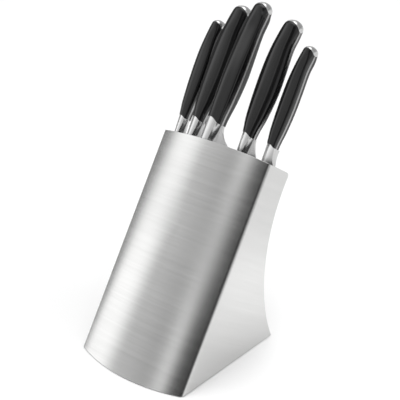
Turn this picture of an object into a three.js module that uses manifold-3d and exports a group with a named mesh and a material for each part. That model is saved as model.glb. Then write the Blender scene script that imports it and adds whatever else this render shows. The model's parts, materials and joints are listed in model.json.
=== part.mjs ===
// A leaning steel knife block with five knives, in millimetres, +Z up.
// The origin is the middle of the object's footprint, on the surface it stands on.
import * as THREE from 'three';
import { mergeVertices } from 'three/addons/utils/BufferGeometryUtils.js';
import Module from 'manifold-3d';

// ---- driving dimensions of the block ----
const BLOCK_WIDTH = 128.2;
const BLOCK_LENGTH = 225;                          // along the lean, from front foot to rim
const LEAN = THREE.MathUtils.degToRad(33.2);       // backwards from upright
const FRONT_BULGE = 10.4;                          // how far the curved front stands forward
const RIM_CROWN = 2.8;                             // rise of the front rim at its middle
const TOP_DEPTH = 36.5;
const BASE_DEPTH = 133.7;
const REAR_RADIUS = 165;                           // hollow curve of the back
const SHEET = 1.2;
const BEND_RADIUS = 4;
const GAP = 0.3;                                   // clearance between fitted pieces
const SHELL_FLOOR_GAP = 0.6;                       // the feet lift the sheet off the table
const REAR_PANEL_INSET = 0.8;
const TOP_CORNER_RADIUS = 4;
const BEYOND = 20;                                 // how far cutting shapes reach past what they cut
const FAR_DEPTH = 120;                             // a depth behind every part of the block
const BELOW_FLOOR = -100;                          // a height along the lean under every part of the block

// ---- plates, posts, feet and screws ----
const SLOT_PLATE_DROP = 2;                         // below the rim
const SLOT_PLATE_THICKNESS = 4;
const GUIDE_HEIGHT = 108;                          // along the lean
const GUIDE_THICKNESS = 3;
const PLATE_DEPTH = 33;
const POST_RADIUS = 3;
const SPIGOT_RADIUS = 1.7;
const POST_PLACES = [[-57, 2.5], [-57, 27], [56, 4], [56, 28]];
const FOOT_RADIUS = 6;
const FOOT_HEIGHT = 3;
const FOOT_PLACES = [[-46, 14], [46, 14], [-46, 112], [46, 112]];
const BASE_THICKNESS = 2;
const BRACKET_START = 30;
const BRACKET_LENGTH = 60;
const BRACKET_LEG = 14;
const BRACKET_HEIGHT = 12;
const SCREW_INSET = 8;                             // from the bracket's wall side
const SCREW_ROWS = [42, 78];
const SCREW_RADIUS = 1.9;
const SCREW_HEAD_RADIUS = 3.6;
const SCREW_HEAD_HEIGHT = 1.8;
const SCREW_REACH = 7;                             // above the screw's head

// ---- knives ----
// spine: distance of the back of the blade from the block's left side; depth: behind the front chord;
// collar: height of the handle's lower end above the rim; butt: centre and radius of the rounded end.
const SLOT_SIDE_ROOM = 0.8;
const SLOT_FACE_ROOM = 0.4;
const BLADE_HALF = 1.1;
const BOLSTER_RIM_HALF = 3;
const BOLSTER_FOOT = -14;
const HEEL = -3;                                   // height of the blade's heel corner
const CAP_DEPTH = 2.9;
const BUTT_ROUNDING = 0.42;                        // height of the butt's rounding, as a share of thickness
const TANG_HALF = 1.25;
const PIN_RADIUS = 2.4;
const PIN_INSET = 2.6;                             // under the faces of the handle
const KNIFE_ROOM = { left: -20, right: 60, low: -40, high: 200, thick: 20 };  // holds any knife's handle
const LARGE_HANDLE = {
  collar: 21.5, length: 113.8, neck: 14, swell: 20.4, waist: 18.4, arch: 2.9,
  neckThickness: 13, thickness: 17, buttCentre: 11.2, buttRadius: 9.3, column: 10.5, scaleDip: 3.6,
  chinStep: 1.5, flarePower: 1.8,
};
const SMALL_HANDLE = {
  collar: 19, length: 96, neck: 11, swell: 14.7, waist: 14, arch: 2.3,
  neckThickness: 11, thickness: 14, buttCentre: 8.7, buttRadius: 6.6, column: 8, scaleDip: 2.8,
  chinStep: 0.8, flarePower: 2.7,
};
const KNIVES = [
  {
    ...SMALL_HANDLE, name: 'paring_knife', spine: 5.3, depth: 10, tilt: -1.9,
    bladeLength: 90, bladeHeight: 15, tipDrop: 0.45,
  },
  {
    ...LARGE_HANDLE, name: 'carving_knife', spine: 23.4, depth: 6.5, tilt: 0,
    bladeLength: 200, bladeHeight: 27, tipDrop: 0.4,
  },
  {
    ...LARGE_HANDLE, name: 'chef_knife', spine: 46.4, depth: -2, tilt: 0,
    collar: 25, length: 117.7, neck: 18.2, swell: 25.6, waist: 24.3, arch: -0.5, neckThickness: 14,
    thickness: 18, buttCentre: 15.5, buttRadius: 9.9, column: 12.8, scaleDip: 5,
    chinStep: 2, flarePower: 2.7,
    bladeLength: 200, bladeHeight: 45, tipDrop: 0.35,
  },
  {
    ...LARGE_HANDLE, name: 'bread_knife', spine: 82.3, depth: 9.5, tilt: 0,
    bladeLength: 200, bladeHeight: 27, tipDrop: 0.3,
  },
  {
    ...SMALL_HANDLE, name: 'utility_knife', spine: 106.2, depth: 18, tilt: 0,
    bladeLength: 125, bladeHeight: 17.5, tipDrop: 0.45,
  },
];

const wasm = await Module();
wasm.setup();

const finish = (color, roughness, metalness) => () =>
  new THREE.MeshStandardMaterial({ color, roughness, metalness });
const brushedSteel = finish(0xc9cacc, 0.35, 1);
const polishedSteel = finish(0xe2e3e5, 0.15, 1);
const blackHandle = finish(0x17181a, 0.35, 0);
const blackPlastic = finish(0x222326, 0.6, 0);
const blackRubber = finish(0x1b1b1b, 0.9, 0);
const screwSteel = finish(0xa8a9ab, 0.4, 1);

// ---- solids ----
function toSolid(geometry) {
  const plain = geometry.clone();
  plain.deleteAttribute('normal');
  plain.deleteAttribute('uv');
  const merged = mergeVertices(plain, 1e-4);
  const corners = [];
  for (let i = 0; i < merged.index.count; i += 3) {
    const [a, b, c] = [0, 1, 2].map((k) => merged.index.getX(i + k));
    if (a !== b && b !== c && c !== a) corners.push(a, b, c);
  }
  const vertProperties = new Float32Array(merged.attributes.position.array);
  const triVerts = new Uint32Array(corners);
  return new wasm.Manifold(new wasm.Mesh({ numProp: 3, vertProperties, triVerts }));
}

function toGeometry(solid) {
  const { vertProperties, triVerts, numProp } = solid.getMesh();
  const points = new Float32Array((vertProperties.length / numProp) * 3);
  for (let i = 0; i < points.length / 3; i += 1) {
    points.set(vertProperties.subarray(i * numProp, i * numProp + 3), i * 3);
  }
  const geometry = new THREE.BufferGeometry();
  geometry.setAttribute('position', new THREE.BufferAttribute(points, 3));
  geometry.setIndex(Array.from(triVerts));
  geometry.computeVertexNormals();
  return geometry;
}

function makeMesh(name, solid, material) {
  const mesh = new THREE.Mesh(toGeometry(solid), material());
  mesh.name = name;
  return mesh;
}

function boxSolid(low, high) {
  const size = high.map((value, i) => value - low[i]);
  const geometry = new THREE.BoxGeometry(...size);
  geometry.translate(...low.map((value, i) => value + size[i] / 2));
  return toSolid(geometry);
}

// A round bar on a vertical axis at (x, y).
function barSolid(x, y, radius, bottom, top, sides = 16) {
  const geometry = new THREE.CylinderGeometry(radius, radius, top - bottom, sides);
  geometry.rotateX(Math.PI / 2);
  geometry.translate(x, y, (bottom + top) / 2);
  return toSolid(geometry);
}

// A turned piece from [radius, height] points that start and end on the axis, upwards.
function turned(profile, x, y, sides = 16) {
  const points = profile.map(([radius, height]) => new THREE.Vector2(radius, height));
  const geometry = new THREE.LatheGeometry(points, sides);
  geometry.rotateX(Math.PI / 2);
  geometry.translate(x, y, 0);
  return toSolid(geometry);
}

const extrusion = (shape, depth, curveSegments) =>
  new THREE.ExtrudeGeometry(shape, { depth, bevelEnabled: false, curveSegments });

// A shape drawn in X and depth, raised along +Z.
function raise(shape, bottom, top, curveSegments = 4) {
  const geometry = extrusion(shape, top - bottom, curveSegments);
  geometry.translate(0, 0, bottom);
  return toSolid(geometry);
}

// A shape drawn in Y and Z, stretched along X.
function stretchAcross(shape, left, right, curveSegments = 12) {
  const geometry = extrusion(shape, right - left, curveSegments);
  geometry.rotateX(Math.PI / 2);
  geometry.rotateZ(Math.PI / 2);
  geometry.translate(left, 0, 0);
  return toSolid(geometry);
}

// A shape drawn in X and Z, stretched along Y between two depths.
function stretchBack(shape, near, far, curveSegments = 10) {
  const geometry = extrusion(shape, far - near, curveSegments);
  geometry.rotateX(Math.PI / 2);
  geometry.translate(0, far, 0);
  return toSolid(geometry);
}

const leanTurn = new THREE.Matrix4().makeRotationX(-LEAN);
const leaned = (solid) => solid.transform(leanTurn.elements);

// ---- the block's outlines ----
// Section across the lean: two flat sides joined by a shallow curved front with bent corners.
function sectionShape(inset, rear) {
  const half = BLOCK_WIDTH / 2;
  const frontRadius = (half * half + FRONT_BULGE * FRONT_BULGE) / (2 * FRONT_BULGE);
  const frontCentre = frontRadius - FRONT_BULGE;
  const bendX = half - BEND_RADIUS;
  const bendDepth = frontCentre - Math.sqrt((frontRadius - BEND_RADIUS) ** 2 - bendX ** 2);
  const swing = Math.atan2(frontCentre - bendDepth, bendX);
  const shape = new THREE.Shape();
  shape.moveTo(-half + inset, rear);
  shape.lineTo(-half + inset, bendDepth);
  shape.absarc(-bendX, bendDepth, BEND_RADIUS - inset, Math.PI, Math.PI + swing);
  shape.absarc(0, frontCentre, frontRadius - inset, Math.PI + swing, 2 * Math.PI - swing);
  shape.absarc(bendX, bendDepth, BEND_RADIUS - inset, 2 * Math.PI - swing, 2 * Math.PI);
  shape.lineTo(half - inset, rear);
  return shape;
}

// A point of the side view, from its depth and its distance along the lean.
function sidePoint(depth, along) {
  const y = along * Math.sin(LEAN) + depth * Math.cos(LEAN);
  const z = along * Math.cos(LEAN) - depth * Math.sin(LEAN);
  return new THREE.Vector2(y, z);
}

const rearTop = sidePoint(TOP_DEPTH, BLOCK_LENGTH);
const rearBottom = new THREE.Vector2(BASE_DEPTH, 0);
const rearCentre = (() => {
  const chord = rearTop.clone().sub(rearBottom);
  const reach = Math.sqrt(REAR_RADIUS ** 2 - chord.lengthSq() / 4);
  const outward = new THREE.Vector2(chord.y, -chord.x).normalize();
  return rearBottom.clone().add(rearTop).multiplyScalar(0.5).addScaledVector(outward, reach);
})();

// Side view of the shell: flat foot, leaning front, square-cut top and hollow back.
function sideShape() {
  const edge = 0.4;                                // just behind the front corners, clear of the crowned rim
  const bottomAngle = Math.asin((SHELL_FLOOR_GAP - rearCentre.y) / REAR_RADIUS);
  const topAngle = Math.atan2(rearTop.y - rearCentre.y, rearTop.x - rearCentre.x);
  const softAngle = topAngle + TOP_CORNER_RADIUS / REAR_RADIUS;
  const front = sidePoint(-BEYOND, 0);
  const shape = new THREE.Shape();
  shape.moveTo(front.x - (front.y - SHELL_FLOOR_GAP) * Math.tan(LEAN), SHELL_FLOOR_GAP);
  const over = BLOCK_LENGTH + BEYOND;
  const beforeCorner = TOP_DEPTH - TOP_CORNER_RADIUS;
  for (const [depth, along] of
    [[-BEYOND, over], [edge, over], [edge, BLOCK_LENGTH], [beforeCorner, BLOCK_LENGTH]]) {
    const p = sidePoint(depth, along);
    shape.lineTo(p.x, p.y);
  }
  const afterCorner = new THREE.Vector2(Math.cos(softAngle), Math.sin(softAngle))
    .multiplyScalar(REAR_RADIUS).add(rearCentre);
  shape.quadraticCurveTo(rearTop.x, rearTop.y, afterCorner.x, afterCorner.y);
  shape.absarc(rearCentre.x, rearCentre.y, REAR_RADIUS, softAngle, Math.PI - bottomAngle);
  return shape;
}

function rearDisc(radius) {
  const shape = new THREE.Shape();
  shape.absarc(rearCentre.x, rearCentre.y, radius, 0, 2 * Math.PI);
  return stretchAcross(shape, -BLOCK_WIDTH, BLOCK_WIDTH, 60);
}

// Everything under the crowned rim.
function underRim() {
  const half = BLOCK_WIDTH / 2;
  const crownRadius = (half * half + RIM_CROWN * RIM_CROWN) / (2 * RIM_CROWN);
  const swing = Math.asin(half / crownRadius);
  const shape = new THREE.Shape();
  const centre = BLOCK_LENGTH + RIM_CROWN - crownRadius;
  shape.moveTo(-half - 1, -BLOCK_LENGTH);
  shape.lineTo(half + 1, -BLOCK_LENGTH);
  shape.lineTo(half + 1, BLOCK_LENGTH);
  shape.lineTo(half, BLOCK_LENGTH);
  shape.absarc(0, centre, crownRadius, Math.PI / 2 - swing, Math.PI / 2 + swing);
  shape.lineTo(-half - 1, BLOCK_LENGTH);
  return stretchBack(shape, -BLOCK_LENGTH, BLOCK_LENGTH);
}

// ---- block pieces ----
function outerShell() {
  const [low, high] = [BELOW_FLOOR, BLOCK_LENGTH + BEYOND];
  const outside = raise(sectionShape(0, FAR_DEPTH), low, high, 7);
  const tube = outside.subtract(raise(sectionShape(SHEET, FAR_DEPTH + 5), low - 5, high + 5, 7));
  const side = stretchAcross(sideShape(), -BLOCK_WIDTH, BLOCK_WIDTH);
  return leaned(tube.intersect(underRim())).intersect(side);
}

function rearPanel() {
  const half = BLOCK_WIDTH / 2 - SHEET - GAP;
  const inner = REAR_RADIUS + REAR_PANEL_INSET;
  const band = rearDisc(inner + SHEET).subtract(rearDisc(inner));
  const slab = stretchAcross(sideShape(), -half, half);
  const behind = boxSolid([-half, TOP_DEPTH / 2, -BLOCK_LENGTH], [half, BLOCK_LENGTH, BLOCK_LENGTH + 1]);
  return band.intersect(slab).intersect(leaned(behind));
}

function basePlate() {
  const bottom = FOOT_HEIGHT + GAP;
  const filling = leaned(raise(sectionShape(SHEET + GAP, FAR_DEPTH), BELOW_FLOOR, BLOCK_LENGTH));
  const reach = 2 * BLOCK_WIDTH;
  const slab = boxSolid([-reach, -reach, bottom], [reach, reach, bottom + BASE_THICKNESS]);
  const plate = filling.intersect(slab).subtract(rearDisc(REAR_RADIUS + REAR_PANEL_INSET + SHEET + GAP));
  return withScrewHoles(plate);
}

function withScrewHoles(solid) {
  const holes = screwPlaces().map(([x, y]) => barSolid(x, y, SCREW_RADIUS + GAP, 0, BEYOND));
  return holes.reduce((left, hole) => left.subtract(hole), solid);
}

function screwPlaces() {
  const x = BLOCK_WIDTH / 2 - SHEET - GAP - SCREW_INSET;
  return [-x, x].flatMap((side) => SCREW_ROWS.map((y) => [side, y]));
}

function bracket(side) {
  const wall = BLOCK_WIDTH / 2 - SHEET - GAP;
  const bottom = FOOT_HEIGHT + 2 * GAP + BASE_THICKNESS;
  const shape = new THREE.Shape();
  shape.moveTo(side * wall, bottom);
  shape.lineTo(side * (wall - BRACKET_LEG), bottom);
  shape.lineTo(side * (wall - BRACKET_LEG), bottom + SHEET);
  shape.lineTo(side * (wall - SHEET), bottom + SHEET);
  shape.lineTo(side * (wall - SHEET), bottom + BRACKET_HEIGHT);
  shape.lineTo(side * wall, bottom + BRACKET_HEIGHT);
  return withScrewHoles(stretchBack(shape, BRACKET_START, BRACKET_START + BRACKET_LENGTH));
}

function foot([x, y]) {
  const soft = 0.8;                                // bevel round the foot's lower edge
  const profile = [[0, 0], [FOOT_RADIUS - soft, 0], [FOOT_RADIUS, soft]];
  profile.push([FOOT_RADIUS, FOOT_HEIGHT], [0, FOOT_HEIGHT]);
  return turned(profile, x, y);
}

function screw([x, y]) {
  const [low, high] = [FOOT_HEIGHT - SCREW_HEAD_HEIGHT, FOOT_HEIGHT + SCREW_REACH];
  const soft = 1;                                  // bevels of the head and the tip
  const profile = [[0, low], [SCREW_HEAD_RADIUS - soft, low], [SCREW_HEAD_RADIUS, low + soft]];
  profile.push([SCREW_HEAD_RADIUS, FOOT_HEIGHT], [SCREW_RADIUS, FOOT_HEIGHT]);
  profile.push([SCREW_RADIUS, high - soft], [0, high]);
  return turned(profile, x, y, 12);
}

// ---- slotted plates and their posts, in the leaning frame ----
function knifeSlot(knife, halfWidth, bottom, top) {
  const left = knife.spine - BLOCK_WIDTH / 2 - SLOT_SIDE_ROOM;
  const right = knife.spine - BLOCK_WIDTH / 2 + knife.bladeHeight + SLOT_SIDE_ROOM;
  return boxSolid([left, knife.depth - halfWidth, bottom], [right, knife.depth + halfWidth, top]);
}

function slottedPlate(knives, halfWidth, bottom, thickness) {
  const plate = raise(sectionShape(SHEET + GAP, PLATE_DEPTH), bottom, bottom + thickness);
  const [low, high] = [bottom - 1, bottom + thickness + 1];
  const slots = knives.map((knife) => knifeSlot(knife, halfWidth, low, high));
  const holes = POST_PLACES.map(([x, y]) => barSolid(x, y, SPIGOT_RADIUS + GAP, low, high, 12));
  return [...slots, ...holes].reduce((solid, cut) => solid.subtract(cut), plate);
}

function slotPlateBottom() {
  return BLOCK_LENGTH - SLOT_PLATE_DROP - SLOT_PLATE_THICKNESS;
}

function slotPlate() {
  return slottedPlate(KNIVES, BOLSTER_RIM_HALF + SLOT_FACE_ROOM, slotPlateBottom(), SLOT_PLATE_THICKNESS);
}

function lowerGuide() {
  const reaching = KNIVES.filter((knife) => BLOCK_LENGTH - knife.bladeLength < GUIDE_HEIGHT);
  return slottedPlate(reaching, BLADE_HALF + SLOT_FACE_ROOM, GUIDE_HEIGHT, GUIDE_THICKNESS);
}

function post([x, y]) {
  const low = GUIDE_HEIGHT + GUIDE_THICKNESS + GAP;
  const high = slotPlateBottom() - GAP;
  const reach = 2.6;                               // of each spigot into its plate
  const profile = [[0, low - reach], [SPIGOT_RADIUS, low - reach], [SPIGOT_RADIUS, low], [POST_RADIUS, low]];
  profile.push([POST_RADIUS, high], [SPIGOT_RADIUS, high], [SPIGOT_RADIUS, high + reach], [0, high + reach]);
  return turned(profile, x, y, 12);
}

// ---- knife pieces ----
// In a knife's own frame X runs from the spine to the cutting edge, Y through the blade's thickness,
// and Z along the knife towards the butt, with zero at the block's rim.

// A body between two outlines, with a thickness that varies over it. Its columns crowd towards both sides.
function sculpted({ left, right, half, low, high, across, along }) {
  const geometry = new THREE.BoxGeometry(1, 1, 1, across, 1, along);
  const position = geometry.attributes.position;
  for (let i = 0; i < position.count; i += 1) {
    const share = (1 - Math.cos(Math.PI * (position.getX(i) + 0.5))) / 2;
    const z = low + (high - low) * (position.getZ(i) + 0.5);
    const x = THREE.MathUtils.lerp(left(z), right(z), share);
    position.setXYZ(i, x, Math.sign(position.getY(i)) * half(share, z, x), z);
  }
  return toSolid(geometry);
}

// A smooth line through [height, x] pairs, as a function that gives x at a height.
const throughPoints = (pairs) => {
  const curve = new THREE.SplineCurve(pairs.map(([height, x]) => new THREE.Vector2(x, height)));
  const points = curve.getPoints(80);
  return (height) => {
    const next = points.findIndex((p) => p.y >= height);
    if (next <= 0) return next === 0 ? points[0].x : points[points.length - 1].x;
    const [a, b] = [points[next - 1], points[next]];
    return THREE.MathUtils.lerp(a.x, b.x, (height - a.y) / (b.y - a.y));
  };
};

// Spine and belly curves of the handle, from its collar to its butt.
function handleCurves(knife) {
  const at = (share) => knife.collar + share * knife.length;
  const { arch, neck, swell, waist, buttCentre, buttRadius } = knife;
  const spine = throughPoints([
    [at(-0.3), 0], [at(-0.02), 0], [at(0.13), -0.6 * arch], [at(0.42), -arch],
    [at(0.7), -0.75 * arch], [at(0.84), 0.4 * (buttCentre - buttRadius)], [at(1.02), buttCentre - buttRadius],
  ]);
  const belly = throughPoints([
    [at(-0.3), neck - 1], [at(0), neck], [at(0.16), neck + 0.45 * (swell - neck)], [at(0.36), swell],
    [at(0.56), swell - 0.2 * (swell - waist)], [at(0.76), waist],
    [at(0.9), buttCentre + buttRadius], [at(1.02), buttCentre + buttRadius],
  ]);
  return { spine, belly };
}

function handleForm(knife) {
  const { spine, belly } = handleCurves(knife);
  const low = knife.collar - 10;
  const high = knife.collar + knife.length + 1;
  const full = (z) => {
    const share = THREE.MathUtils.clamp((z - knife.collar) / knife.length, 0, 1);
    const grow = Math.sin(Math.min(share / 0.45, 1) * Math.PI / 2);
    return (knife.neckThickness + (knife.thickness - knife.neckThickness) * grow) / 2;
  };
  const rounded = (share) => (1 - Math.abs(2 * share - 1) ** 3) ** (1 / 3);
  const half = (share, z) => Math.max(full(z) * rounded(share), TANG_HALF + 0.5);
  return sculpted({ left: spine, right: belly, half, low, high, across: 6, along: 12 });
}

// Flat region of the knife's side view, stretched through its thickness.
const sideCut = (shape) => stretchBack(shape, -KNIFE_ROOM.thick, KNIFE_ROOM.thick, 5);

// A broad area up to a shoulder, with a narrower half ellipse standing on it. It works in either view.
function domeShape(room, centre, wide, tall, shoulder, top) {
  const shape = new THREE.Shape();
  shape.moveTo(room.left, KNIFE_ROOM.low);
  shape.lineTo(room.right, KNIFE_ROOM.low);
  shape.lineTo(room.right, shoulder);
  shape.lineTo(centre + wide, shoulder);
  shape.absellipse(centre, top - tall, wide, tall, 0, Math.PI, false);
  shape.lineTo(centre - wide, shoulder);
  shape.lineTo(room.left, shoulder);
  return shape;
}

// The region inside the butt, which is rounded in both views, drawn back by some distance.
function insideButt(knife, drawnBack) {
  const top = knife.collar + knife.length - drawnBack;
  const shoulder = knife.collar + 0.86 * knife.length;
  const { buttCentre, buttRadius, thickness } = knife;
  const sideView = domeShape(KNIFE_ROOM, buttCentre, buttRadius * 1.12, buttRadius, shoulder, top);
  const endRoom = { left: -KNIFE_ROOM.thick, right: KNIFE_ROOM.thick };
  const endView = domeShape(endRoom, 0, thickness * 0.53, thickness * BUTT_ROUNDING, shoulder, top);
  return sideCut(sideView).intersect(stretchAcross(endView, KNIFE_ROOM.left, KNIFE_ROOM.right, 5));
}

// The region above the line where the handle scales meet the bolster.
function aboveCollar(knife, lift) {
  const line = knife.collar + lift;
  const tip = line - knife.scaleDip;
  const shape = new THREE.Shape();
  shape.moveTo(KNIFE_ROOM.left, line);
  shape.lineTo(knife.neck * 0.35, line);
  shape.bezierCurveTo(knife.neck * 0.7, line, knife.neck * 0.8, tip + 1, knife.neck * 1.02, tip);
  shape.lineTo(KNIFE_ROOM.right, tip);
  shape.lineTo(KNIFE_ROOM.right, KNIFE_ROOM.high);
  shape.lineTo(KNIFE_ROOM.left, KNIFE_ROOM.high);
  return sideCut(shape);
}

function pinPlaces(knife) {
  const { spine, belly } = handleCurves(knife);
  return [0.22, 0.7].map((share) => {
    const z = knife.collar + share * knife.length;
    return [(spine(z) + belly(z)) / 2, z];
  });
}

function pinSolid([x, z], radius, halfLength) {
  const geometry = new THREE.CylinderGeometry(radius, radius, 2 * halfLength, 12);
  geometry.translate(x, 0, z);
  return toSolid(geometry);
}

function bladeForm(knife) {
  const { bladeLength, bladeHeight, tipDrop, collar, neck, chinStep, flarePower } = knife;
  const tip = -bladeLength;
  const tipX = tipDrop * bladeHeight;
  const run = (z) => THREE.MathUtils.clamp(z / tip, 0, 1);
  const spineLine = (z) => tipX * Math.max(0, (run(z) - 0.55) / 0.45) ** 2;
  const chinTop = collar - 2;
  const chin = neck + chinStep;
  const heelLine = (z) => chin + (bladeHeight - chin)
    * THREE.MathUtils.clamp((chinTop - z) / (chinTop - HEEL), 0, 1) ** flarePower;
  const curveIn = (z) => Math.max(0, (run(z) - 0.3) / 0.7) ** 2.4;
  const edgeLine = (z) => bladeHeight - (bladeHeight - tipX - 0.6) * curveIn(z);
  const half = (share) => THREE.MathUtils.lerp(BLADE_HALF, 0.2, share);
  const lower = sculpted({
    left: spineLine, right: edgeLine, half, low: tip, high: HEEL, across: 2, along: 12,
  });
  const neckTop = collar - knife.scaleDip;
  const upper = sculpted({
    left: () => 0, right: heelLine, half, low: HEEL - 0.1, high: neckTop, across: 2, along: 8,
  });
  return lower.add(upper);
}

// The forged shoulder: as thick as the handle at the collar, and down to the blade along a slanting groove.
function bolsterForm(knife) {
  const { collar, neck, column, neckThickness, scaleDip } = knife;
  const thinnest = BLADE_HALF + 0.05;
  const { lerp, smoothstep, clamp } = THREE.MathUtils;
  const thick = (z) => (z > 0
    ? lerp(BOLSTER_RIM_HALF, neckThickness / 2, (z / collar) ** 1.2)
    : lerp(thinnest, BOLSTER_RIM_HALF, clamp(1 - z / BOLSTER_FOOT, 0, 1)));
  const groove = (z) => column + (neck - column) * smoothstep(z, collar - scaleDip - 4, collar);
  const half = (share, z, x) => {
    const round = (1 - Math.abs(2 * Math.min(x / neck, 1) - 1) ** 4) ** 0.25;
    const fade = 1 - smoothstep(x, groove(z) - 0.5, groove(z) + 2.2);
    const face = Math.max(thinnest, thick(z) * Math.max(round, 0.35));
    return lerp(thinnest, face, z > collar - 1 ? 1 : fade);
  };
  const shoulder = sculpted({
    left: () => 0, right: () => neck, half, low: BOLSTER_FOOT, high: collar + 1, across: 9, along: 8,
  });
  return shoulder.subtract(aboveCollar(knife, -GAP / 2));
}

function knifeGroup(knife) {
  const whole = handleForm(knife).intersect(insideButt(knife, 0)).intersect(aboveCollar(knife, GAP / 2));
  const grip = whole.intersect(insideButt(knife, CAP_DEPTH));
  const pinHalf = knife.thickness / 2 - PIN_INSET;
  const drilled = (solid) => pinPlaces(knife).reduce((left, place) =>
    left.subtract(pinSolid(place, PIN_RADIUS + GAP, pinHalf + GAP)), solid);
  const { left, right, low, high, thick } = KNIFE_ROOM;
  const layer = (near, far) =>
    boxSolid([left, Math.min(near, far), low], [right, Math.max(near, far), high]);
  const inner = handleForm(knife).intersect(insideButt(knife, CAP_DEPTH + GAP));
  const tang = drilled(inner.intersect(aboveCollar(knife, -2)).intersect(layer(-TANG_HALF, TANG_HALF)));
  const scale = (side) => drilled(grip.intersect(layer(side * (TANG_HALF + GAP), side * thick)));
  const cap = whole.subtract(insideButt(knife, CAP_DEPTH - GAP));

  const steel = bladeForm(knife).add(bolsterForm(knife)).add(tang);
  const group = new THREE.Group();
  group.add(makeMesh(`${knife.name}_blade`, steel, polishedSteel));
  group.add(makeMesh(`${knife.name}_front_scale`, scale(-1), blackHandle));
  group.add(makeMesh(`${knife.name}_rear_scale`, scale(1), blackHandle));
  group.add(makeMesh(`${knife.name}_end_cap`, cap, polishedSteel));
  pinPlaces(knife).forEach((place, i) => {
    const pin = pinSolid(place, PIN_RADIUS, pinHalf);
    group.add(makeMesh(`${knife.name}_${['lower', 'upper'][i]}_pin`, pin, screwSteel));
  });
  group.position.set(knife.spine - BLOCK_WIDTH / 2, knife.depth, BLOCK_LENGTH);
  group.rotation.y = THREE.MathUtils.degToRad(knife.tilt);
  return group;
}

// ---- assembly ----
const block = new THREE.Group();
block.add(makeMesh('outer_shell', outerShell(), brushedSteel));
block.add(makeMesh('rear_panel', rearPanel(), brushedSteel));
block.add(makeMesh('base_plate', basePlate(), blackPlastic));
block.add(makeMesh('left_bracket', bracket(-1), screwSteel));
block.add(makeMesh('right_bracket', bracket(1), screwSteel));
const corners = ['front_left', 'front_right', 'rear_left', 'rear_right'];
FOOT_PLACES.forEach((place, i) => block.add(makeMesh(`${corners[i]}_foot`, foot(place), blackRubber)));
const screwNames = ['left_front', 'left_rear', 'right_front', 'right_rear'];
screwPlaces().forEach((place, i) => block.add(makeMesh(`${screwNames[i]}_screw`, screw(place), screwSteel)));

const leaning = new THREE.Group();
leaning.rotation.x = -LEAN;
leaning.add(makeMesh('slot_plate', slotPlate(), blackPlastic));
leaning.add(makeMesh('lower_guide', lowerGuide(), blackPlastic));
const postNames = ['left_front', 'left_rear', 'right_front', 'right_rear'];
POST_PLACES.forEach((place, i) => leaning.add(makeMesh(`${postNames[i]}_post`, post(place), blackPlastic)));
KNIVES.forEach((knife) => leaning.add(knifeGroup(knife)));

const knifeBlock = new THREE.Group();
knifeBlock.add(block, leaning);
knifeBlock.updateMatrixWorld(true);
const bounds = new THREE.Box3().setFromObject(knifeBlock, true);
const middle = bounds.getCenter(new THREE.Vector3());
knifeBlock.position.set(-middle.x, -middle.y, -bounds.min.z);

export default knifeBlock;
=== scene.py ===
"""Looks of a leaning steel knife block with five black-handled knives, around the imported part.

Pieces are shaped in millimetres, in the frame of the block or of a knife, and are then set down
in metres.
"""
import json
import math

import bpy
from mathutils import Matrix, Vector


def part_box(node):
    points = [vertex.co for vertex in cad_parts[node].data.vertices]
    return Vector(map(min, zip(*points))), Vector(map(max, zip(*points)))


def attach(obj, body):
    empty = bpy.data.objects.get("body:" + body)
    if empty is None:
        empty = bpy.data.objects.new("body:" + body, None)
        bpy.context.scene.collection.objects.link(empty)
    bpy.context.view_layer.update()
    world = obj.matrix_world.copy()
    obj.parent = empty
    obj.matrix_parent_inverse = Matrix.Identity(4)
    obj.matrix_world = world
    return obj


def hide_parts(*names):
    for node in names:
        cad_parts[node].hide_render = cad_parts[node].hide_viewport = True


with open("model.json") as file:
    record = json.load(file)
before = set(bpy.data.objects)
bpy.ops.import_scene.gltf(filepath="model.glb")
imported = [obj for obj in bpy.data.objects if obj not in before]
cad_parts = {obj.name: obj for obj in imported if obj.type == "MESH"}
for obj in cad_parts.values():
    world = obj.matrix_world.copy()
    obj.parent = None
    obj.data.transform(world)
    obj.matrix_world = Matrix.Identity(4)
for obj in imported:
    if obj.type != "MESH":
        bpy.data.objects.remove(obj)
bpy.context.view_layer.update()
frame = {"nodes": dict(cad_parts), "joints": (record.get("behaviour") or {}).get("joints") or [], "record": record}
bpy.ops.object.select_all(action="DESELECT")

# ---- the block ----
MM = 0.001
SHELL_LOW, SHELL_HIGH = [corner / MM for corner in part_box("outer_shell")]
BLOCK_WIDTH = SHELL_HIGH.x - SHELL_LOW.x
HALF_WIDTH = BLOCK_WIDTH / 2
BLOCK_LENGTH = 225  # along the lean
FRONT_BULGE = 10.4
RIM_CROWN = 2.8
TOP_DEPTH = 36.5
BASE_DEPTH = 133.7
REAR_RADIUS = 165
SHEET = 1.2
BEND_RADIUS = 4
TOP_CORNER_RADIUS = 4
FLOOR_GAP = 0.6
PANEL_INSET = 0.8
PANEL_DROP = 2.4  # of the rear panel's upper edge, under the rim
GAP = 0.3
FAR_DEPTH = 120
BELOW_FLOOR = -100
FOOT_DEPTH = 14  # of the front feet, from the block's own origin
BEND_STEPS, FRONT_STEPS = 8, 64
HOLLOW_FACETS = 180
PANEL_SWEEP = 40  # degrees of the rear panel's arc each way from its middle, one step for each
MERGE = 0.001  # points closer than this are one point

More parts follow.
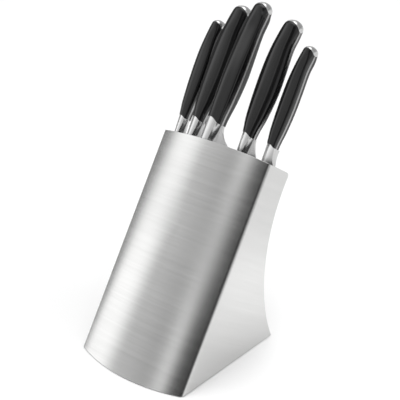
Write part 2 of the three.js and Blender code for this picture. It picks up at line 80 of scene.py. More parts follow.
# ---- knives ----
SLIDES = {joint["child"]: joint for joint in frame["joints"]}
LEAN = math.atan2(SLIDES["chef_knife"]["axis"][1], SLIDES["chef_knife"]["axis"][2])
TANG_HALF = 1.25
CAP_DEPTH = 3.5
BUTT_ROUNDING = 0.33
SEAM = 0.12
SPINE_POWER = 2.3  # how square a grip's section is on the spine side
BUTT_POWER = 2.5  # and the corner of its butt
BUTT_THICKNESS = 17  # which every handle's thickness comes towards at its butt
LEAN_IN = 0.07  # of the handle's length, by which the spine side comes in towards the butt
LEAN_IN_REACH = 0.42  # of the handle's length, over which it does so
RIM_HALF = 3  # half thickness of a bolster at the rim
BOLSTER_FOOT = -14
HEEL = -3
BLADE_HALF = 1.1

# Heights are above the rim, and widths are from the back of the blade. collar: the handle's lower
# end; neck, swell, waist, butt_right: widths going up; arch: hollow of the spine side; column:
# width of the bolster's ridge; scale_dip, chin_step, flare: the bolster's drop to the blade.
LARGE = dict(
    collar=21.5, length=113.8, neck=14, swell=19.4, waist=18.2, arch=4.8, neck_thickness=13,
    thickness=17, waist_thickness=16, butt_centre=11.2, butt_right=20, column=9.4,
    scale_dip=3.6, chin_step=1.5, flare=1.8, belly_power=3,
)
SMALL = dict(
    collar=19, length=96, neck=11, swell=13.7, waist=13.3, arch=3.1, neck_thickness=11,
    thickness=14, waist_thickness=14, butt_centre=8.7, butt_right=14.8, column=8,
    scale_dip=2.8, chin_step=0.8, flare=2.7, belly_power=5,
)
CHEF = dict(
    collar=25, length=117.7, neck=18.4, swell=21.6, waist=22, arch=0.4, neck_thickness=14,
    thickness=19.5, waist_thickness=14.5, butt_centre=15.5, butt_right=23.6, column=12.4,
    scale_dip=5, chin_step=2, flare=2.7, belly_power=8,
)
# spine: from the block's left side to the back of the blade; depth: behind the block's front.
KNIVES = [
    dict(SMALL, name="paring_knife", spine=5.3, depth=10, blade=90, height=15, tip_drop=0.45,
         length=99.5),
    dict(LARGE, name="carving_knife", spine=23.4, depth=6.5, blade=200, height=27, tip_drop=0.4,
         length=115.6),
    dict(CHEF, name="chef_knife", spine=46.4, depth=-2, blade=200, height=45, tip_drop=0.35),
    dict(LARGE, name="bread_knife", spine=82.3, depth=9.5, blade=200, height=27, tip_drop=0.3),
    dict(SMALL, name="utility_knife", spine=106.2, depth=18, blade=125, height=17.5,
         tip_drop=0.45, column=17, length=97.8),
]


# ---- places ----
def block_place():
    """From the block's millimetres to the part's metres. The front feet say where the block is."""
    low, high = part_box("front_left_foot")
    forward = (low.y + high.y) / 2 - FOOT_DEPTH * MM
    return Matrix.Translation((0, forward, 0)) @ Matrix.Scale(MM, 4)


BLOCK_PLACE = block_place()
LEANING_PLACE = BLOCK_PLACE @ Matrix.Rotation(-LEAN, 4, "X")


def knife_place(knife):
    """From a knife's millimetres: X from spine to edge, Y through the blade, Z up from the rim."""
    tilt = math.asin(SLIDES[knife["name"]]["axis"][0])
    origin = (knife["spine"] - HALF_WIDTH, knife["depth"], BLOCK_LENGTH)
    return LEANING_PLACE @ Matrix.Translation(origin) @ Matrix.Rotation(tilt, 4, "Y")


# ---- modelling helpers ----
def named(name):
    """The primitive just added, under its own name."""
    piece = bpy.context.active_object
    piece.name = name
    piece.data.name = name
    return piece


def only(piece):
    """Makes a piece the active object and the only one that is selected."""
    bpy.ops.object.select_all(action="DESELECT")
    piece.select_set(True)
    bpy.context.view_layer.objects.active = piece


def edit(piece, kind="VERT"):
    only(piece)
    bpy.ops.object.mode_set(mode="EDIT")
    bpy.context.tool_settings.mesh_select_mode = tuple(kind == k for k in ("VERT", "EDGE", "FACE"))


def leave():
    bpy.ops.object.mode_set(mode="OBJECT")


def pick(piece, wanted, kind="VERT"):
    """Selects the vertices, edges or faces whose middle passes a test, and stays in edit mode."""
    edit(piece, kind)
    bpy.ops.mesh.select_all(action="DESELECT")
    leave()
    mesh = piece.data
    if kind == "VERT":
        for vertex in mesh.vertices:
            vertex.select = wanted(vertex.co)
    elif kind == "EDGE":
        for edge in mesh.edges:
            a, b = [mesh.vertices[i].co for i in edge.vertices]
            edge.select = wanted((a + b) / 2)
    else:
        for face in mesh.polygons:
            face.select = wanted(face.center)
    edit(piece, kind)


def extrude(x, y, z):
    bpy.ops.mesh.extrude_region_move(TRANSFORM_OT_translate={"value": (x, y, z)})


def apply_modifier(piece, kind, **values):
    modifier = piece.modifiers.new(kind.lower(), kind)
    for key, value in values.items():
        setattr(modifier, key, value)
    bpy.context.view_layer.objects.active = piece
    bpy.ops.object.modifier_apply(modifier=modifier.name)


def cut_away(piece, cutter):
    apply_modifier(piece, "BOOLEAN", operation="DIFFERENCE", solver="EXACT", object=cutter)
    bpy.data.objects.remove(cutter)


def cut_at(piece, point, way, **cleared):
    """Cuts a piece at a plane, clears one side of it and closes the cut."""
    edit(piece)
    bpy.ops.mesh.select_all(action="SELECT")
    bpy.ops.mesh.bisect(plane_co=point, plane_no=way, use_fill=True, **cleared)
    leave()


def outward(piece):
    """Merges doubled points and turns all faces outwards."""
    edit(piece)
    bpy.ops.mesh.select_all(action="SELECT")
    bpy.ops.mesh.remove_doubles(threshold=MERGE)
    bpy.ops.mesh.normals_make_consistent(inside=False)
    leave()


def soften(piece, width, angle=35, segments=2):
    """A small round on every sharp edge, and smooth shading between them."""
    apply_modifier(
        piece, "BEVEL", width=width, segments=segments, limit_method="ANGLE",
        angle_limit=math.radians(angle), use_clamp_overlap=True, miter_outer="MITER_ARC",
    )
    only(piece)
    bpy.ops.object.shade_smooth_by_angle(angle=math.radians(angle))
    apply_modifier(piece, "WEIGHTED_NORMAL", keep_sharp=True, weight=80)


def set_down(piece, place, body, slot, material, *nodes):
    """Moves a finished piece to its place in the part and gives it its body and finish. Its slot is not used."""
    piece.matrix_world = place
    only(piece)
    bpy.ops.object.transform_apply(location=True, rotation=True, scale=True)
    piece.data.materials.clear()
    piece.data.materials.append(material)
    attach(piece, body)
    if nodes:
        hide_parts(*nodes)
    return piece


def single_point(name, x, y, z):
    """A mesh of one selected vertex, in edit mode, from which a profile is drawn."""
    bpy.ops.mesh.primitive_plane_add(size=1)
    piece = named(name)
    edit(piece)
    bpy.ops.mesh.select_all(action="SELECT")
    bpy.ops.mesh.merge(type="CENTER")
    bpy.ops.transform.translate(value=(x, y, z))
    return piece


# ---- the block's sheet metal ----
def side_point(depth, along):
    """Y and Z of a point of the side view, from its depth and its distance along the lean."""
    y = along * math.sin(LEAN) + depth * math.cos(LEAN)
    return y, along * math.cos(LEAN) - depth * math.sin(LEAN)


def rear_centre():
    """Centre of the hollow back's arc, in the side view."""
    top = Vector(side_point(TOP_DEPTH, BLOCK_LENGTH))
    bottom = Vector((BASE_DEPTH, 0))
    chord = top - bottom
    reach = math.sqrt(REAR_RADIUS ** 2 - chord.length_squared / 4)
    return (top + bottom) / 2 + Vector((chord.y, -chord.x)).normalized() * reach


REAR_CENTRE = rear_centre()


def bent_sheet():
    """The front and both sides as one upright sheet, with a crowned rim."""
    front_radius = (HALF_WIDTH ** 2 + FRONT_BULGE ** 2) / (2 * FRONT_BULGE)
    centre_depth = front_radius - FRONT_BULGE
    bend_x = HALF_WIDTH - BEND_RADIUS
    bend_depth = centre_depth - math.sqrt((front_radius - BEND_RADIUS) ** 2 - bend_x ** 2)
    swing = math.atan2(centre_depth - bend_depth, bend_x)
    piece = single_point("outer_shell_sheet", -HALF_WIDTH, FAR_DEPTH, BELOW_FLOOR)
    extrude(0, bend_depth - FAR_DEPTH, 0)
    for centre, angle, steps in (
        ((-bend_x, bend_depth), swing, BEND_STEPS),
        ((0, centre_depth), math.pi - 2 * swing, FRONT_STEPS),
        ((bend_x, bend_depth), swing, BEND_STEPS),
    ):
        bpy.ops.mesh.spin(steps=steps, angle=-angle, center=(*centre, BELOW_FLOOR), axis=(0, 0, 1))
    extrude(0, FAR_DEPTH - bend_depth, 0)
    bpy.ops.mesh.select_all(action="SELECT")
    bpy.ops.mesh.remove_doubles(threshold=MERGE)
    extrude(0, 0, BLOCK_LENGTH - BELOW_FLOOR)
    leave()
    crown_radius = (HALF_WIDTH ** 2 + RIM_CROWN ** 2) / (2 * RIM_CROWN)
    for vertex in piece.data.vertices:
        if vertex.co.z > 0:
            drop = crown_radius - math.sqrt(crown_radius ** 2 - vertex.co.x ** 2)
            vertex.co.z += max(RIM_CROWN - drop, 0)
    outward(piece)
    return piece


def hollow_cutter(corner):
    """The cylinder that hollows the back. One of its edges lies exactly on the rear top corner."""
    towards = corner - REAR_CENTRE
    bpy.ops.mesh.primitive_cylinder_add(
        vertices=HOLLOW_FACETS, radius=REAR_RADIUS, depth=2 * BLOCK_WIDTH
    )
    cutter = named("hollow")
    cutter.matrix_world = (
        Matrix.Translation((0, *REAR_CENTRE))
        @ Matrix.Rotation(math.atan2(towards.y, towards.x), 4, "X")
        @ Matrix.Rotation(math.pi / 2, 4, "Y")
    )
    only(cutter)
    bpy.ops.object.transform_apply(location=True, rotation=True)
    return cutter


def outer_shell(material):
    """The bent sheet, leaned back, cut off at the floor and hollowed, with its corner rounded."""
    piece = bent_sheet()
    apply_modifier(piece, "SOLIDIFY", thickness=SHEET, offset=-1, use_even_offset=True)
    outward(piece)
    piece.rotation_euler.x = -LEAN
    bpy.ops.object.transform_apply(rotation=True)
    cut_at(piece, (0, 0, FLOOR_GAP), (0, 0, 1), clear_inner=True)
    corner = Vector(side_point(TOP_DEPTH, BLOCK_LENGTH))
    cut_away(piece, hollow_cutter(corner))
    outward(piece)
    pick(piece, lambda p: (Vector((p.y, p.z)) - corner).length < SHEET / 4, "EDGE")
    bpy.ops.mesh.bevel(offset=TOP_CORNER_RADIUS, segments=6)
    leave()
    soften(piece, 0.25)
    return set_down(piece, BLOCK_PLACE, "block", "brushed_steel", material, "outer_shell")


def rear_panel(material):
    """The curved sheet that closes the hollow back, just inside the shell."""
    half = HALF_WIDTH - SHEET - GAP
    radius = REAR_RADIUS + PANEL_INSET + SHEET / 2
    y, z = REAR_CENTRE
    piece = single_point("rear_panel_sheet", -half, y - radius, z)
    sweep = dict(steps=PANEL_SWEEP, center=(-half, y, z), axis=(1, 0, 0))
    bpy.ops.mesh.spin(angle=math.radians(PANEL_SWEEP), **sweep)
    leave()
    pick(piece, lambda p: (p - Vector((-half, y - radius, z))).length < 0.01)
    bpy.ops.mesh.spin(angle=math.radians(-PANEL_SWEEP), **sweep)
    bpy.ops.mesh.select_all(action="SELECT")
    bpy.ops.mesh.remove_doubles(threshold=MERGE)
    extrude(2 * half, 0, 0)
    leave()
    apply_modifier(piece, "SOLIDIFY", thickness=SHEET, offset=0, use_even_offset=True)
    outward(piece)
    cut_at(piece, (0, 0, FLOOR_GAP), (0, 0, 1), clear_inner=True)
    upper_edge = (0, *side_point(0, BLOCK_LENGTH - PANEL_DROP))
    cut_at(piece, upper_edge, (0, math.sin(LEAN), math.cos(LEAN)), clear_outer=True)
    soften(piece, 0.2)
    return set_down(piece, BLOCK_PLACE, "block", "brushed_steel", material, "rear_panel")


# ---- knives ----
def clamp(value, low=0.0, high=1.0):
    return max(low, min(high, value))


def lerp(a, b, share):
    return a + (b - a) * share


def ease(value):
    value = clamp(value)
    return value * value * (3 - 2 * value)


def line_through(*points):
    """A smooth line through (height, x) points, as a function that gives x at a height."""
    heights = [p[0] for p in points]
    places = [p[1] for p in points]
    last = len(points) - 1

    def slope(i):
        a, b = max(i - 1, 0), min(i + 1, last)
        return (places[b] - places[a]) / (heights[b] - heights[a])

    def at(height):
        height = clamp(height, heights[0], heights[-1])
        i = next(k for k in range(1, last + 1) if height <= heights[k]) - 1
        step = heights[i + 1] - heights[i]
        t = (height - heights[i]) / step
        return (
            (2 * t ** 3 - 3 * t ** 2 + 1) * places[i] + (t ** 3 - 2 * t ** 2 + t) * step * slope(i)
            + (3 * t ** 2 - 2 * t ** 3) * places[i + 1] + (t ** 3 - t ** 2) * step * slope(i + 1)
        )

    return at


class Handle:
    """The outline and the thickness of one knife's handle."""

    def __init__(self, knife):
        self.__dict__.update(knife)
        self.place = knife_place(knife)

        def at(share):
            return self.collar + share * self.length

        self.top = at(1)
        self.spine_base = line_through(
            (at(-0.3), 0), (at(-0.02), 0), (at(0.13), -0.6 * self.arch), (at(0.42), -self.arch),
            (at(0.7), -self.arch), (at(1.02), -self.arch),
        )
        self.belly_line = line_through(
            (at(-0.3), self.neck - 1), (at(0), self.neck),
            (at(0.16), lerp(self.neck, self.swell, 0.6)), (at(0.36), self.swell),
            (at(0.56), lerp(self.swell, self.waist, 0.2)), (at(0.76), self.waist),
            (at(0.9), self.butt_right), (at(1.02), self.butt_right),
        )
        self.butt_height = self.butt_right - self.butt_centre
        butt_thickness = lerp(self.waist_thickness, BUTT_THICKNESS, 0.6)
        self.full_thickness = line_through(
            (at(-0.1), self.neck_thickness), (at(0), self.neck_thickness),
            (at(0.2), lerp(self.neck_thickness, self.thickness, 0.7)), (at(0.42), self.thickness),
            (at(0.76), self.waist_thickness), (at(0.9), butt_thickness),
            (at(1.02), butt_thickness),
        )

    def spine_line(self, height):
        nearness = clamp(1 - (self.top - height) / (LEAN_IN_REACH * self.length))
        return self.spine_base(height) + LEAN_IN * self.length * nearness ** 2

    def near_butt(self, height):
        """0 along the handle and 1 in its butt, with a smooth change between."""
        return ease((height - (self.top - 3 * self.butt_height)) / (2 * self.butt_height))

    def middle(self, height):
        """The line of greatest thickness, which ends at the highest point of the butt."""
        between_sides = (self.spine_line(height) + self.belly_line(height)) / 2
        return lerp(between_sides, self.butt_centre, self.near_butt(height))

    def across(self, share, height):
        """X at a share of the width, from 0 at the spine side to 1 at the belly side."""
        middle = self.middle(height)
        if share < 0.5:
            return lerp(self.spine_line(height), middle, 2 * share)
        return lerp(middle, self.belly_line(height), 2 * share - 1)

    def dome(self, height, tall, power=2.0):
        """How much of the full width is left where the butt rounds off."""
        rise = (height - (self.top - tall)) / tall
        return max(1 - clamp(rise) ** power, 0) ** (1 / power)

    def dome_height(self, share, drawn_back):
        """Height of the rounded end over a share of the width."""
        power = BUTT_POWER if share < 0.5 else 2
        arc = max(1 - abs(2 * share - 1) ** power, 0) ** (1 / power)
        return self.top - drawn_back - self.butt_height * (1 - arc)

    def sides(self, height):
        """The outline at a height: spine side, line of greatest thickness and belly side."""
        middle = self.middle(height)
        spine_dome = self.dome(height, self.butt_height, BUTT_POWER)
        left = lerp(middle, self.spine_line(height), spine_dome)
        right = lerp(middle, self.belly_line(height), self.dome(height, self.butt_height))
        return left, middle, right

    def thick(self, height):
        """Half of the greatest thickness at a height."""
        return self.full_thickness(height) / 2 * self.dome(height, BUTT_ROUNDING * self.thickness)

    def power(self, on_spine_side, height):
        """How square the section is: more so on the belly side, and round at the butt."""
        grip_power = SPINE_POWER if on_spine_side else self.belly_power
        return lerp(grip_power, BUTT_POWER, self.near_butt(height))

    def half(self, x, height):
        """Half thickness at a point of the side view."""
        left, middle, right = self.sides(height)
        side, power = left if x < middle else right, self.power(x < middle, height)
        off = clamp((x - middle) / (side - middle)) if abs(side - middle) > 0.01 else 1
        return self.thick(height) * (1 - off ** power) ** (1 / power)

    def collar_height(self, x):
        """The line where the scales meet the bolster: level, then dropping towards the belly."""
        return self.collar - self.scale_dip * ease((x / self.neck - 0.35) / 0.67)


def crowded(share):
    """Spaces columns closer together towards both sides."""
    return (1 - math.cos(math.pi * share)) / 2


def shaped_grid(name, columns, rows, point):
    """A flat grid whose points are moved to point(across, along), both from 0 to 1."""
    bpy.ops.mesh.primitive_grid_add(x_subdivisions=columns, y_subdivisions=rows, size=1)
    piece = named(name)
    for vertex in piece.data.vertices:
        vertex.co = point(vertex.co.x + 0.5, vertex.co.y + 0.5)
    return piece


def thicken_to(piece, plane):
    """Extrudes the whole sheet through the thickness and flattens the new side on a plane."""
    edit(piece)
    bpy.ops.mesh.select_all(action="SELECT")
    extrude(0, 1, 0)
    bpy.ops.transform.resize(value=(1, 0, 1), center_override=(0, plane, 0))
    leave()
    outward(piece)


def mirror_thickness(piece):
    """Doubles a half that was flattened on the blade's middle plane."""
    pick(piece, lambda p: abs(p.y) < 0.0001, "FACE")
    bpy.ops.mesh.delete(type="FACE")
    leave()
    apply_modifier(
        piece, "MIRROR", use_axis=(False, True, False), use_clip=True, merge_threshold=MERGE
    )
    outward(piece)


def scale(handle, side, material):
    """One of the two black grips, flat against the tang and rounded outside."""
    def point(across, along):
        share = crowded(across)
        low = handle.collar_height(share * handle.neck) + SEAM
        height = lerp(low, handle.dome_height(share, CAP_DEPTH + SEAM), along)
        x = handle.across(share, height)
        return x, side * max(handle.half(x, height), TANG_HALF + 0.5), height

    word = "front" if side < 0 else "rear"
    piece = shaped_grid(f"{handle.name}_{word}_grip", 32, 110, point)
    thicken_to(piece, side * (TANG_HALF + 0.02))
    soften(piece, 0.1, angle=50)
    node = f"{handle.name}_{word}_scale"
    return set_down(piece, handle.place, handle.name, "black_handle", material, node)


def tang(handle, material):
    """The steel core that shows as a strip between the grips."""
    def point(across, along):
        share = crowded(across)
        low = handle.collar - handle.scale_dip - 3
        height = lerp(low, handle.dome_height(share, CAP_DEPTH + 0.5), along)
        return handle.across(share, height), -TANG_HALF, height

    piece = shaped_grid(f"{handle.name}_tang", 24, 90, point)
    thicken_to(piece, TANG_HALF)
    soften(piece, 0.06)
    return set_down(piece, handle.place, handle.name, "polished_steel", material)


def end_cap(handle, material):
    """The steel cap: the rounded butt, less what the grips and the tang fill."""
    steps = 22
    shoulder = handle.top - CAP_DEPTH - handle.butt_height
    bpy.ops.mesh.primitive_circle_add(vertices=96, radius=1, location=(0, 0, shoulder))
    piece = named(f"{handle.name}_butt_cap")
    bpy.ops.object.transform_apply(location=True)
    edit(piece)
    bpy.ops.mesh.select_all(action="SELECT")
    before = shoulder
    for step in range(1, steps + 1):
        height = lerp(shoulder, handle.top, math.sin(math.pi / 2 * step / steps))
        extrude(0, 0, height - before)
        before = height
    bpy.ops.mesh.merge(type="CENTER")
    leave()
    for vertex in piece.data.vertices:
        c, s, height = vertex.co
        left, middle, right = handle.sides(height)
        side, power = left if c < 0 else right, handle.power(c < 0, height)
        x = middle + (side - middle) * abs(c) ** (2 / power)
        vertex.co = (x, handle.thick(height) * math.copysign(abs(s) ** (2 / power), s), height)
    tip = max(piece.data.vertices, key=lambda vertex: vertex.co.z)
    tip.co = (handle.butt_centre, 0, handle.top)
    pick(piece, lambda p: abs(p.z - shoulder) < 0.0001)
    bpy.ops.mesh.edge_face_add()
    leave()
    outward(piece)

    def inside(across, along):
        share = crowded(across)
        height = lerp(shoulder - 10, handle.dome_height(share, CAP_DEPTH - SEAM), along)
        x = handle.across(share, height)
        return x + (2 * share - 1) * SEAM, -20, height

    cutter = shaped_grid("inside_of_cap", 48, 40, inside)
    thicken_to(cutter, 20)
    cut_away(piece, cutter)
    outward(piece)
    soften(piece, 0.12, angle=40)
    node = f"{handle.name}_end_cap"
    return set_down(piece, handle.place, handle.name, "polished_steel", material, node)


def blade(handle, material):
    """Blade and bolster in one: a ridge along the spine falls through a groove to the flat."""
    h = handle
    tip = -h.blade
    tip_x = h.tip_drop * h.height
    chin = h.neck + h.chin_step
    chin_top = h.collar - 2
    ridge_share, groove_share = 0.42, 0.64  # of the columns, which end at the ridge and the groove
    blade_rows = 0.35  # share of the rows, below the bolster

    def run(z):
        return clamp(z / tip)

    def spine_line(z):
        return tip_x * max(0, (run(z) - 0.55) / 0.45) ** 2

    def edge_line(z):
        if z > HEEL:
            return lerp(chin, h.height, clamp((chin_top - z) / (chin_top - HEEL)) ** h.flare)
        curve_in = max(0, (run(z) - 0.3) / 0.7) ** 2.4
        return h.height - (h.height - tip_x - 0.6) * curve_in

    def ridge(z):
        return h.column * lerp(0.74, 1.3, clamp(z / h.collar))

    def groove_width(z):
        return lerp(11, 1.5, clamp(z / h.collar)) * h.column / 12.8

    def flat_half(x, z):
        share = clamp((x - spine_line(z)) / max(edge_line(z) - spine_line(z), 0.01))
        neck = ease((z - HEEL) / 14)
        return lerp(lerp(BLADE_HALF, 0.15, share), TANG_HALF, neck)

    def thickness(x, z):
        flat = flat_half(x, z)
        if z > 0:
            crest = lerp(RIM_HALF, h.neck_thickness / 2, (z / h.collar) ** 1.2)
        else:
            crest = lerp(flat, RIM_HALF, ease(1 - z / BOLSTER_FOOT))
        peak = ridge(z)
        if x < peak:
            rounded = (1 - (1 - clamp(x / peak)) ** 2.6) ** (1 / 2.6)
            return max(crest * rounded, min(flat, 0.4 + x))
        fall = clamp((x - peak) / groove_width(z))
        return flat + (crest - flat) * (1 - fall) ** 2

    def point(across, along):
        share = crowded(across) if across < 0.5 else across
        upper = clamp((along - blade_rows) / (1 - blade_rows))
        top = h.collar - SEAM
        for _ in range(3):
            if along < blade_rows:
                z = lerp(tip, BOLSTER_FOOT, along / blade_rows)
            else:
                z = lerp(BOLSTER_FOOT, top, upper)
            left, right = spine_line(z), edge_line(z)
            shaped = ease(1 - z / BOLSTER_FOOT)
            foot = min(ridge(z) + groove_width(z), right - 0.5)
            foot = lerp(lerp(left, right, groove_share), foot, shaped)
            crest = lerp(lerp(left, right, ridge_share), min(ridge(z), foot - 0.3), shaped)
            if share < ridge_share:
                x = lerp(left, crest, share / ridge_share)
            elif share < groove_share:
                x = lerp(crest, foot, (share - ridge_share) / (groove_share - ridge_share))
            else:
                x = lerp(foot, right, (share - groove_share) / (1 - groove_share))
            top = h.collar_height(x) - SEAM
        return x, -thickness(x, z), z

    piece = shaped_grid(f"{h.name}_steel", 72, 110, point)
    thicken_to(piece, 0)
    mirror_thickness(piece)
    soften(piece, 0.12, angle=40)
    return set_down(piece, h.place, h.name, "polished_steel", material, f"{h.name}_blade")


# ---- finishes ----
MIX_SHARE, MIX_FIRST, MIX_SECOND, MIX_RESULT = 0, 6, 7, 2  # a colour Mix node's sockets


def feed(tree, socket, value):
    """Links a socket to another node's output, or gives it a plain value."""
    if isinstance(value, bpy.types.NodeSocket):
        tree.links.new(value, socket)
    else:
        socket.default_value = value


def grey(value):
    return (value, value, value, 1)


def node_group(name, inputs, outputs):
    group = bpy.data.node_groups.new(name, "ShaderNodeTree")
    for label, kind, value in inputs:
        socket = group.interface.new_socket(label, in_out="INPUT", socket_type=kind)
        socket.default_value = value
    for label, kind in outputs:
        group.interface.new_socket(label, in_out="OUTPUT", socket_type=kind)
    return group, group.nodes.new("NodeGroupInput"), group.nodes.new("NodeGroupOutput")


def add(tree, kind, settings=None, **values):
    """A node with its settings, and its inputs by label with spaces written as underscores."""
    node = tree.nodes.new(kind)
    for key, value in (settings or {}).items():
        setattr(node, key, value)
    for key, value in values.items():
        feed(tree, node.inputs[key.replace("_", " ")], value)
    return node


def math_node(tree, operation, *values, kind="ShaderNodeMath"):
    node = add(tree, kind, {"operation": operation})
    for socket, value in zip(node.inputs, values):
        feed(tree, socket, value)
    return node.outputs[0]


def colour_mix(tree, share, first, second):
    """Mixes two colours, each of them a plain value or another node's output."""
    node = add(tree, "ShaderNodeMix", {"data_type": "RGBA"})
    for index, value in ((MIX_SHARE, share), (MIX_FIRST, first), (MIX_SECOND, second)):
        feed(tree, node.inputs[index], value)
    return node.outputs[MIX_RESULT]


def brushing_and_sheen_group():
    """Streaks of brushed steel, and the painted sheen streaks of the black grips: long one way, fine the other,
    with broader patches.
    """
    group, given, out = node_group(
        "brushing and sheen",
        [("Vector", "NodeSocketVector", (0, 0, 0)), ("Long", "NodeSocketFloat", 12),
         ("Fine", "NodeSocketFloat", 900)],
        [("Streaks", "NodeSocketFloat"), ("Patches", "NodeSocketFloat"),
         ("Height", "NodeSocketFloat")],
    )
    stretch = add(group, "ShaderNodeCombineXYZ", X=given.outputs["Long"], Y=given.outputs["Long"],
                  Z=given.outputs["Fine"])
    place = math_node(group, "MULTIPLY", given.outputs["Vector"], stretch.outputs[0],
                      kind="ShaderNodeVectorMath")
    fine = add(group, "ShaderNodeTexNoise", Vector=place, Scale=1.0, Detail=3.0, Roughness=0.65)
    wider = math_node(group, "MULTIPLY", place, (0.5, 0.5, 0.18), kind="ShaderNodeVectorMath")
    coarse = add(group, "ShaderNodeTexNoise", Vector=wider, Scale=1.0, Detail=2.0, Roughness=0.5)
    broad = add(group, "ShaderNodeTexNoise", Vector=given.outputs["Vector"], Scale=18.0,
                Detail=2.0, Roughness=0.5)
    both = math_node(group, "ADD", math_node(group, "MULTIPLY", fine.outputs[0], 0.6),
                     math_node(group, "MULTIPLY", coarse.outputs[0], 0.4))
    group.links.new(both, out.inputs["Streaks"])
    group.links.new(broad.outputs[0], out.inputs["Patches"])
    group.links.new(fine.outputs[0], out.inputs["Height"])
    return group


def speckle_group():
    """The fine uneven skin of moulded and rubbed surfaces, with faint wear in patches."""
    group, given, out = node_group(
        "speckle",
        [("Vector", "NodeSocketVector", (0, 0, 0)), ("Scale", "NodeSocketFloat", 900)],
        [("Grain", "NodeSocketFloat"), ("Wear", "NodeSocketFloat")],
    )
    grain = add(group, "ShaderNodeTexNoise", Vector=given.outputs["Vector"],
                Scale=given.outputs["Scale"], Detail=2.0, Roughness=0.6)
    wear = add(group, "ShaderNodeTexNoise", Vector=given.outputs["Vector"], Scale=35.0,
               Detail=4.0, Roughness=0.6)
    group.links.new(grain.outputs[0], out.inputs["Grain"])
    group.links.new(wear.outputs[0], out.inputs["Wear"])
    return group


BRUSHING_AND_SHEEN = brushing_and_sheen_group()
SPECKLE = speckle_group()


def between(tree, share, low, high, start=0.0, end=1.0):
    """Spreads a value that runs from start to end over low to high."""
    ends = {"From_Min": start, "From_Max": end, "To_Min": low, "To_Max": high}
    return add(tree, "ShaderNodeMapRange", Value=share, **ends).outputs[0]


def shade(tree, share, dark, light):
    return colour_mix(tree, share, (*dark, 1), (*light, 1))


def finish_tree(name):
    """A new material, its node tree and its shader."""
    material = bpy.data.materials.new(name)
    material.use_nodes = True
    tree = material.node_tree
    return material, tree, tree.nodes["Principled BSDF"]


def steel(name, grain_turn, dark, light, rough, long, fine, bump, anisotropy=0.0, contrast=0.25):
    """Brushed or polished steel, with its grain turned to lie along the piece."""
    material, tree, shader = finish_tree(name)
    place = add(tree, "ShaderNodeTexCoord").outputs["Object"]
    turned = add(tree, "ShaderNodeMapping", Vector=place, Rotation=grain_turn)
    lines = add(tree, "ShaderNodeGroup", {"node_tree": BRUSHING_AND_SHEEN}, Vector=turned.outputs[0],
                Long=long, Fine=fine)
    streaks = between(tree, lines.outputs["Streaks"], 0.5 - contrast * 2, 0.5 + contrast * 2)
    tree.links.new(shade(tree, streaks, dark, light), shader.inputs["Base Color"])
    patches = between(tree, lines.outputs["Patches"], -0.03, 0.03)
    streaked = between(tree, lines.outputs["Streaks"], rough[0], rough[1])
    tree.links.new(math_node(tree, "ADD", patches, streaked), shader.inputs["Roughness"])
    relief = add(tree, "ShaderNodeBump", Strength=bump, Distance=0.00005,
                 Height=lines.outputs["Height"])
    tree.links.new(relief.outputs[0], shader.inputs["Normal"])
    shader.inputs["Metallic"].default_value = 1
    if anisotropy:
        shader.inputs["Anisotropic"].default_value = anisotropy
        shader.inputs["Anisotropic Rotation"].default_value = 0.25
        around = add(tree, "ShaderNodeTangent", {"direction_type": "RADIAL", "axis": "Z"})
        tree.links.new(around.outputs[0], shader.inputs["Tangent"])
    return material


def skin(name, dark, light, rough, scale, bump, sheen_share=0.0):
    """A black moulded or rubbed surface with faint wear in its colour. The last argument, from 0 to 1, trades that
    wear for painted sheen: lighter streaks along the lean in the colour, which also set the roughness.
    """
    material, tree, shader = finish_tree(name)
    place = add(tree, "ShaderNodeTexCoord").outputs["Object"]
    speckle = add(tree, "ShaderNodeGroup", {"node_tree": SPECKLE}, Vector=place, Scale=scale)
    turned = add(tree, "ShaderNodeMapping", Vector=place, Rotation=ALONG_LEAN)
    lines = add(tree, "ShaderNodeGroup", {"node_tree": BRUSHING_AND_SHEEN}, Vector=turned.outputs[0],
                Long=420.0, Fine=14.0)
    # Lighter streaks along the lean: in the colour they are painted sheen.
    streaks = between(tree, lines.outputs["Streaks"], -0.6, 1.6)
    worn = math_node(tree, "MULTIPLY", speckle.outputs["Wear"], 1 - sheen_share)
    wear_and_painted_sheen = math_node(tree, "ADD", worn, math_node(tree, "MULTIPLY", streaks, sheen_share))
    tree.links.new(shade(tree, wear_and_painted_sheen, dark, light), shader.inputs["Base Color"])
    tree.links.new(between(tree, wear_and_painted_sheen, *rough), shader.inputs["Roughness"])
    relief = add(tree, "ShaderNodeBump", Strength=bump, Distance=0.0001,
                 Height=speckle.outputs["Grain"])
    tree.links.new(relief.outputs[0], shader.inputs["Normal"])
    return material


ALONG_LEAN = (LEAN, 0, 0)
ACROSS_LEAN = (LEAN, 0, math.pi / 2)
brushed = steel(
    "brushed steel", ALONG_LEAN, dark=(0.54, 0.54, 0.535), light=(0.68, 0.68, 0.675),
    rough=(0.15, 0.21), long=14, fine=1300, bump=0.16, anisotropy=0.75, contrast=0.3,
)
polished = steel(
    "polished steel", ACROSS_LEAN, dark=(0.52, 0.52, 0.52), light=(0.64, 0.64, 0.64),
    rough=(0.16, 0.26), long=900, fine=20, bump=0.05,
)
# A darker copy of the polished steel for the tang's strip between the grips; its darker colour is painted shade.
shaded_tang_steel = steel(
    "shaded tang steel", ACROSS_LEAN, dark=(0.27, 0.27, 0.27), light=(0.42, 0.42, 0.42),
    rough=(0.22, 0.34), long=900, fine=20, bump=0.05,
)
plain = steel(
    "plain steel", ALONG_LEAN, dark=(0.42, 0.42, 0.42), light=(0.55, 0.55, 0.55),
    rough=(0.3, 0.45), long=60, fine=800, bump=0.2,
)
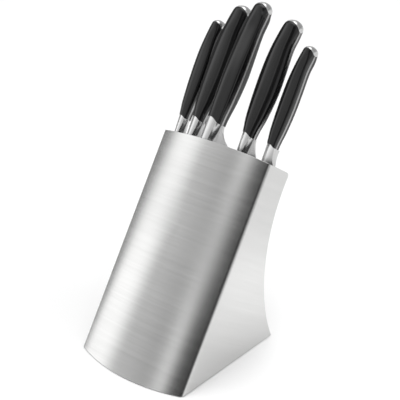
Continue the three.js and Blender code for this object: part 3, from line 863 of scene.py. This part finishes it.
# Painted sheen: the grip's colour has lighter streaks along the lean.
handle_black = skin(
    "black grip", dark=(0.003, 0.003, 0.0032), light=(0.009, 0.009, 0.0095),
    rough=(0.1, 0.2), scale=1400, bump=0.06, sheen_share=0.8,
)
plastic_black = skin(
    "black plastic", dark=(0.02, 0.02, 0.021), light=(0.035, 0.035, 0.036),
    rough=(0.5, 0.62), scale=2200, bump=0.5,
)
rubber_black = skin(
    "black rubber", dark=(0.018, 0.018, 0.018), light=(0.03, 0.03, 0.03),
    rough=(0.75, 0.9), scale=1500, bump=0.5,
)

# ---- the object ----
outer_shell(brushed)
rear_panel(brushed)
for knife in KNIVES:
    handle = Handle(knife)
    blade(handle, polished)
    tang(handle, shaded_tang_steel)
    scale(handle, -1, handle_black)
    scale(handle, 1, handle_black)
    end_cap(handle, polished)

FINISHES = {
    "black_plastic": plastic_black, "black_rubber": rubber_black, "plain_steel": plain,
    "brushed_steel": brushed, "polished_steel": polished, "black_handle": handle_black,
}
for row in frame["record"]["subparts"]:
    for place in frame["nodes"][row["node"]].material_slots:
        place.material = FINISHES[row["material_slot"]]


# ---- floor, light and camera ----
FLOOR_SIZE = 12
BRIGHTEST = 1.6  # of the surroundings' bands, and the strength of the world
OVERHEAD = 1.7  # brightness overhead, as a share of that strength
OVERHEAD_FROM, OVERHEAD_FULL = 0.75, 0.95  # height of the direction where it starts and is full
CAMERA_EYE = (578.6, -584.8, 580.0)  # in the block's millimetres
CAMERA_DOWN = 26.09  # degrees under the horizon
CAMERA_TURN = 40.16  # degrees round from the block's front
LENS, SENSOR = 95.49, 36


def studio_floor():
    bpy.ops.mesh.primitive_plane_add(size=FLOOR_SIZE)
    floor = named("studio_floor")
    material, _, shader = finish_tree("pale floor")
    shader.inputs["Base Color"].default_value = grey(0.9)
    shader.inputs["Roughness"].default_value = 0.9
    floor.data.materials.append(material)


def studio_surroundings():
    """Soft white walls with a grey and a dark stretch, which the steel shows as bands.

    Seen directly they are plain white.
    """
    bands = (
        # degrees round from the block's front towards its left, brightness
        (-180, 0.5), (-140, 0.45), (-110, 0.6), (-70, 0.6), (-45, 0.1), (-6, 0.04), (1.5, 0.06),
        (5, 0.18), (8, 0.6), (10.5, 1.0), (14, 1.0), (18, 0.64), (24, 0.54), (30, 0.62),
        (38, 0.7), (43, 0.72), (47, 0.98), (51.5, 1.4), (56, 1.6), (66, 1.6), (68.5, 1.3),
        (70, 0.6), (72, 0.24), (100, 0.26), (112, 0.6), (130, 0.8), (180, 0.5),
    )
    world = bpy.data.worlds.new("studio")
    bpy.context.scene.world = world
    world.use_nodes = True
    tree = world.node_tree
    direction = add(tree, "ShaderNodeTexCoord").outputs["Generated"]
    way = add(tree, "ShaderNodeSeparateXYZ", Vector=direction)
    turn = math_node(tree, "ARCTAN2", math_node(tree, "MULTIPLY", way.outputs[0], -1),
                     math_node(tree, "MULTIPLY", way.outputs[1], -1))
    share = math_node(tree, "MULTIPLY_ADD", turn, 0.5 / math.pi, 0.5)
    ramp = add(tree, "ShaderNodeValToRGB", Fac=share)
    elements = ramp.color_ramp.elements
    elements.remove(elements[1])
    for i, (degrees, bright) in enumerate(bands):
        element = elements.new(degrees / 360 + 0.5) if i else elements[0]
        element.color = grey(bright / BRIGHTEST)
    overhead = between(tree, way.outputs[2], 0, 1, OVERHEAD_FROM, OVERHEAD_FULL)
    reflected = colour_mix(tree, overhead, ramp.outputs[0], grey(OVERHEAD))
    by_camera = add(tree, "ShaderNodeLightPath").outputs["Is Camera Ray"]
    background = tree.nodes["Background"]
    feed(tree, background.inputs["Color"],
         colour_mix(tree, by_camera, reflected, grey(1 / BRIGHTEST)))
    background.inputs["Strength"].default_value = BRIGHTEST


def floor_lights():
    """Soft lights that brighten the floor beside the block, which the side plate shows.

    The camera and the reflections don't show the lights themselves.
    """
    for at, aim, energy, size in (  # metres and watts
        ((0.42, 0.2, 0.36), (0.13, 0.06, 0), 0.25, 0.35),
        ((0.13, 0.1, 0.12), (0.13, 0.1, 0), 0.07, 0.09),
    ):
        way = Vector(aim) - Vector(at)
        turn = way.to_track_quat("-Z", "Y").to_euler()
        bpy.ops.object.light_add(type="AREA", location=at, rotation=turn)
        light = bpy.context.active_object
        light.data.energy = energy
        light.data.size = size
        light.visible_camera = False
        light.visible_glossy = False


def camera():
    eye = BLOCK_PLACE @ Vector(CAMERA_EYE)
    turn = (math.radians(90 - CAMERA_DOWN), 0, math.radians(CAMERA_TURN))
    bpy.ops.object.camera_add(location=eye, rotation=turn)
    made = bpy.context.active_object
    made.data.lens = LENS
    made.data.sensor_width = SENSOR
    bpy.context.scene.camera = made


studio_floor()
studio_surroundings()
floor_lights()
camera()
bpy.context.scene.view_settings.view_transform = "Standard"
